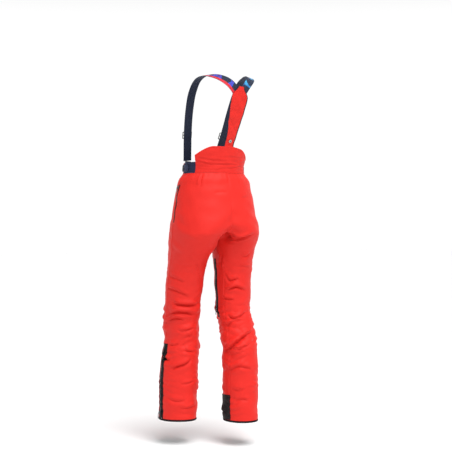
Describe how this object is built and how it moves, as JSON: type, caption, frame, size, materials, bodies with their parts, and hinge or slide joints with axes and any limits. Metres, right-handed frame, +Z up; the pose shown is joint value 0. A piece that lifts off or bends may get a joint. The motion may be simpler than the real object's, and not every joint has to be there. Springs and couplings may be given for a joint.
{
  "type": "insulated ski pants with suspenders",
  "caption": "Insulated red ski pants shown as worn, with a raised back yoke, printed elastic suspenders, thigh vents, zipped lower legs and dark hem guards.",
  "frame": {"origin": "the middle of the wearer's waist at the height of the waist seam", "axes": "+Z up along the wearer, -Y the way the wearer faces, +X the wearer's left"},
  "size_m": [0.3846, 0.375, 1.4268],
  "materials": {
    "shell_red": "matte woven softshell, padded",
    "navy_elastic": "ribbed elastic",
    "strap_webbing": "printed elastic webbing",
    "zip_black": "zip tape and coil",
    "guard_black": "hard-wearing coated fabric",
    "lining_black": "smooth lining fabric",
    "clip_plastic": "moulded acetal",
    "snap_metal": "satin plated"
  },
  "bodies": {
    "pelvis": {"back_yoke": "shell_red", "waistband_left": "shell_red", "waistband_right": "shell_red", "side_elastic_left": "navy_elastic", "side_elastic_right": "navy_elastic", "left_front_panel": "shell_red", "left_back_panel": "shell_red", "right_front_panel": "shell_red", "right_back_panel": "shell_red", "left_pocket_zip_chain": "zip_black", "right_pocket_zip_chain": "zip_black", "seat_section": "shell_red", "fly_zip_chain": "zip_black", "closure_snap_post": "snap_metal", "hanger_loop": "lining_black", "back_anchor_tab": "lining_black", "front_anchor_left": "snap_metal", "front_anchor_right": "snap_metal"},
    "fly_slider": {"fly_zip_slider": "snap_metal"},
    "fly_pull": {"fly_zip_pull": "snap_metal"},
    "closure_tab": {"closure_tab": "shell_red", "closure_snap_cap": "snap_metal"},
    "suspenders": {"back_strap": "shell_red", "back_snap_cap": "snap_metal", "shoulder_strap_left": "strap_webbing", "shoulder_strap_right": "strap_webbing"},
    "adjuster_left": {"adjuster_tab_left": "navy_elastic"},
    "left_pocket_slider": {"left_pocket_zip_slider": "snap_metal"},
    "strap_slider_left": {"strap_slider_left": "clip_plastic"},
    "strap_end_left": {"strap_end_left": "clip_plastic", "snap_cap_left": "snap_metal"},
    "left_thigh": {"left_thigh_front": "shell_red", "left_thigh_back": "shell_red", "left_vent_zip_panel": "zip_black", "left_knee_section": "shell_red"},
    "left_vent_slider": {"left_vent_zip_slider": "snap_metal"},
    "left_shank": {"left_shank_front": "shell_red", "left_shank_back": "shell_red", "left_side_zip_panel": "zip_black", "left_scuff_guard": "guard_black", "left_hem_band": "guard_black", "left_gaiter": "lining_black"},
    "left_side_slider": {"left_side_zip_slider": "snap_metal"},
    "adjuster_right": {"adjuster_tab_right": "navy_elastic"},
    "right_pocket_slider": {"right_pocket_zip_slider": "snap_metal"},
    "strap_slider_right": {"strap_slider_right": "clip_plastic"},
    "strap_end_right": {"strap_end_right": "clip_plastic", "snap_cap_right": "snap_metal"},
    "right_thigh": {"right_thigh_front": "shell_red", "right_thigh_back": "shell_red", "right_vent_zip_panel": "zip_black", "right_knee_section": "shell_red"},
    "right_vent_slider": {"right_vent_zip_slider": "snap_metal"},
    "right_shank": {"right_shank_front": "shell_red", "right_shank_back": "shell_red", "right_side_zip_panel": "zip_black", "right_scuff_guard": "guard_black", "right_hem_band": "guard_black", "right_gaiter": "lining_black"},
    "right_side_slider": {"right_side_zip_slider": "snap_metal"}
  },
  "joints": [
    {"name": "fly_zip_slide", "type": "slide", "parent": "pelvis", "child": "fly_slider", "axis": [0, -0.1015, -0.9948], "range_m": [0, 0.155]},
    {"name": "fly_pull_hinge", "type": "hinge", "parent": "fly_slider", "child": "fly_pull", "pos_m": [0, -0.10772, -0.00877], "axis": [1, 0, 0], "range_deg": [-165, 0]},
    {"name": "waist_tab_hinge", "type": "hinge", "parent": "pelvis", "child": "closure_tab", "pos_m": [0.03, -0.09804, 0.02], "axis": [0, 0, 1], "range_deg": [0, 110]},
    {"name": "suspenders_swing", "type": "hinge", "parent": "pelvis", "child": "suspenders", "pos_m": [0, 0.1222, 0.1124], "axis": [1, 0, 0], "range_deg": [-100, 0]},
    {"name": "adjuster_slide_left", "type": "slide", "parent": "pelvis", "child": "adjuster_left", "axis": [0, -1, 0], "range_m": [0, 0.03]},
    {"name": "left_pocket_zip_slide", "type": "slide", "parent": "pelvis", "child": "left_pocket_slider", "axis": [0.1693, -0.0168, -0.9854], "range_m": [0, 0.115]},
    {"name": "strap_slider_slide_left", "type": "slide", "parent": "suspenders", "child": "strap_slider_left", "axis": [0.0921, 0.2703, 0.9584], "range_m": [-0.02, 0.055]},
    {"name": "strap_end_hinge_left", "type": "hinge", "parent": "suspenders", "child": "strap_end_left", "pos_m": [0.07025, -0.0859, 0.0555], "axis": [-0.9012, -0.4334, 0], "range_deg": [0, 80]},
    {"name": "left_hip_flex", "type": "hinge", "parent": "pelvis", "child": "left_thigh", "pos_m": [0.1, -0.0871, -0.262], "axis": [1, 0, 0], "range_deg": [-45, 15], "deforming": ["seat_section"]},
    {"name": "left_knee_flex", "type": "hinge", "parent": "left_thigh", "child": "left_shank", "pos_m": [0.1, -0.1021, -0.662], "axis": [1, 0, 0], "range_deg": [0, 70], "deforming": ["left_knee_section"]},
    {"name": "left_vent_zip_slide", "type": "slide", "parent": "left_thigh", "child": "left_vent_slider", "axis": [-0.0465, 0.1593, 0.9861], "range_m": [0, 0.175]},
    {"name": "left_side_zip_slide", "type": "slide", "parent": "left_shank", "child": "left_side_slider", "axis": [0.0121, 0.0491, 0.9987], "range_m": [0, 0.215]},
    {"name": "adjuster_slide_right", "type": "slide", "parent": "pelvis", "child": "adjuster_right", "axis": [0, -1, 0], "range_m": [0, 0.03]},
    {"name": "right_pocket_zip_slide", "type": "slide", "parent": "pelvis", "child": "right_pocket_slider", "axis": [-0.1693, -0.0174, -0.9854], "range_m": [0, 0.115]},
    {"name": "strap_slider_slide_right", "type": "slide", "parent": "suspenders", "child": "strap_slider_right", "axis": [-0.1566, 0.265, 0.9515], "range_m": [-0.02, 0.055]},
    {"name": "strap_end_hinge_right", "type": "hinge", "parent": "suspenders", "child": "strap_end_right", "pos_m": [-0.07025, -0.0859, 0.0555], "axis": [-0.9012, 0.4334, 0], "range_deg": [0, 80]},
    {"name": "right_hip_flex", "type": "hinge", "parent": "pelvis", "child": "right_thigh", "pos_m": [-0.1, 0.0294, -0.24], "axis": [1, 0, 0], "range_deg": [-28, 20], "deforming": ["seat_section"]},
    {"name": "right_knee_flex", "type": "hinge", "parent": "right_thigh", "child": "right_shank", "pos_m": [-0.1, 0.0502, -0.662], "axis": [1, 0, 0], "range_deg": [0, 70], "deforming": ["right_knee_section"]},
    {"name": "right_vent_zip_slide", "type": "slide", "parent": "right_thigh", "child": "right_vent_slider", "axis": [0.0471, -0.0138, 0.9988], "range_m": [0, 0.175]},
    {"name": "right_side_zip_slide", "type": "slide", "parent": "right_shank", "child": "right_side_slider", "axis": [-0.0121, -0.0058, 0.9999], "range_m": [0, 0.215]}
  ]
}
